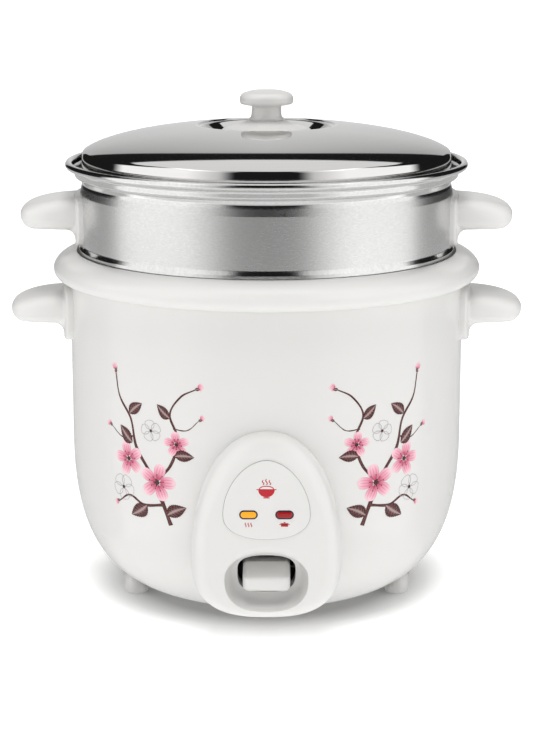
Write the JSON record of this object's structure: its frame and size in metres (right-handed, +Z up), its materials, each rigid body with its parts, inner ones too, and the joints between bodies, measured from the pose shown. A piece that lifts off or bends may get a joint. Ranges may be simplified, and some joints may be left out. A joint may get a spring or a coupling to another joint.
{
  "type": "rice cooker",
  "caption": "Drum rice cooker with inner pot, steamer tray and domed metal lid; a rocking lever in the front housing starts cooking.",
  "frame": {"origin": "centre of the base on the surface the cooker stands on, below the drum's axis", "axes": "+Z up along the drum's axis, -Y towards the control housing, +X towards the right handle seen from the front"},
  "size_m": [0.3112, 0.2643, 0.3045],
  "materials": {
    "white_shell": "gloss off-white enamel on drawn sheet, with a blossom print",
    "white_plastic": "gloss off-white moulded plastic",
    "polished_steel": "mirror-polished stainless sheet",
    "satin_steel": "satin fine-grain sheet with turned lines",
    "pot_alloy": "spun aluminium",
    "plate_alloy": "cast aluminium with a turned face",
    "plated_steel": "zinc-plated sheet",
    "screws": "zinc-plated screws",
    "black_plastic": "matt black plastic",
    "ivory_plastic": "ivory heat-proof plastic",
    "magnet_black": "sintered ferrite",
    "amber_lens": "amber lens",
    "red_lens": "dark red lens",
    "lamp_glass": "small glass lamps",
    "mica_band": "mica band heater",
    "wire_sleeves": "heat-proof wire sleeves",
    "brass_pins": "nickelled brass blades"
  },
  "bodies": {
    "cooker": {"body_shell": "white_shell", "collar": "white_plastic", "base_plate": "plated_steel", "base_screws": "screws", "feet": "white_plastic", "foot_screws": "screws", "inner_liner": "pot_alloy", "heating_plate": "plate_alloy", "heating_element": "plated_steel", "plate_standoffs": "screws", "plate_screws": "screws", "keep_warm_heater": "mica_band", "thermal_fuse": "screws", "thermostat_guide": "plated_steel", "thermostat_spring": "screws", "magnet_spring": "screws", "lever_bracket": "plated_steel", "pivot_pin": "screws", "microswitch": "black_plastic", "control_housing": "white_plastic", "fascia_plate": "white_plastic", "warm_lens": "amber_lens", "cook_lens": "red_lens", "signal_lamps": "lamp_glass", "lamp_holder": "black_plastic", "housing_screws": "screws", "inlet_housing": "white_plastic", "inlet_socket": "black_plastic", "inlet_pins": "brass_pins", "inlet_screws": "screws", "terminal_block": "ivory_plastic", "wiring": "wire_sleeves", "body_handle_left": "white_plastic", "body_handle_right": "white_plastic", "body_handle_screws": "screws"},
    "thermostat": {"thermostat_cap": "pot_alloy", "ferrite_disc": "magnet_black"},
    "magnet_carrier": {"magnet": "magnet_black", "magnet_holder": "plated_steel"},
    "cook_lever": {"lever_paddle": "white_plastic", "lever_arm": "plated_steel"},
    "pot": {"inner_pot": "pot_alloy"},
    "steamer": {"steamer_tray": "satin_steel", "steamer_handle_left": "white_plastic", "steamer_handle_right": "white_plastic", "steamer_rivets": "screws"},
    "lid": {"lid_shell": "polished_steel", "knob_base": "white_plastic", "lid_knob": "white_plastic", "knob_screw": "screws"}
  },
  "joints": [
    {"name": "cook_lever_press", "type": "hinge", "parent": "cooker", "child": "cook_lever", "pos_m": [0, -0.07, 0.038], "axis": [1, 0, 0], "range_deg": [0, 6], "stiffness_Nm_per_rad": 1.5, "springref_deg": -6.88},
    {"name": "magnet_slide", "type": "slide", "parent": "cooker", "child": "magnet_carrier", "axis": [0, 0, 1], "range_m": [0, 0.00743], "deforming": ["magnet_spring"]},
    {"name": "thermostat_press", "type": "slide", "parent": "cooker", "child": "thermostat", "axis": [0, 0, 1], "range_m": [-0.004, 0], "stiffness_N_per_m": 400, "springref_m": 0.002, "deforming": ["thermostat_spring"]},
    {"name": "pot_lift", "type": "slide", "parent": "cooker", "child": "pot", "axis": [0, 0, 1], "range_m": [0, 0.16]},
    {"name": "steamer_lift", "type": "slide", "parent": "pot", "child": "steamer", "axis": [0, 0, 1], "range_m": [0, 0.08]},
    {"name": "lid_lift", "type": "slide", "parent": "steamer", "child": "lid", "axis": [0, 0, 1], "range_m": [0, 0.08]}
  ],
  "couplings": [
    {"joint": "magnet_slide", "follows": "cook_lever_press", "m_per_rad": 0.07}
  ]
}
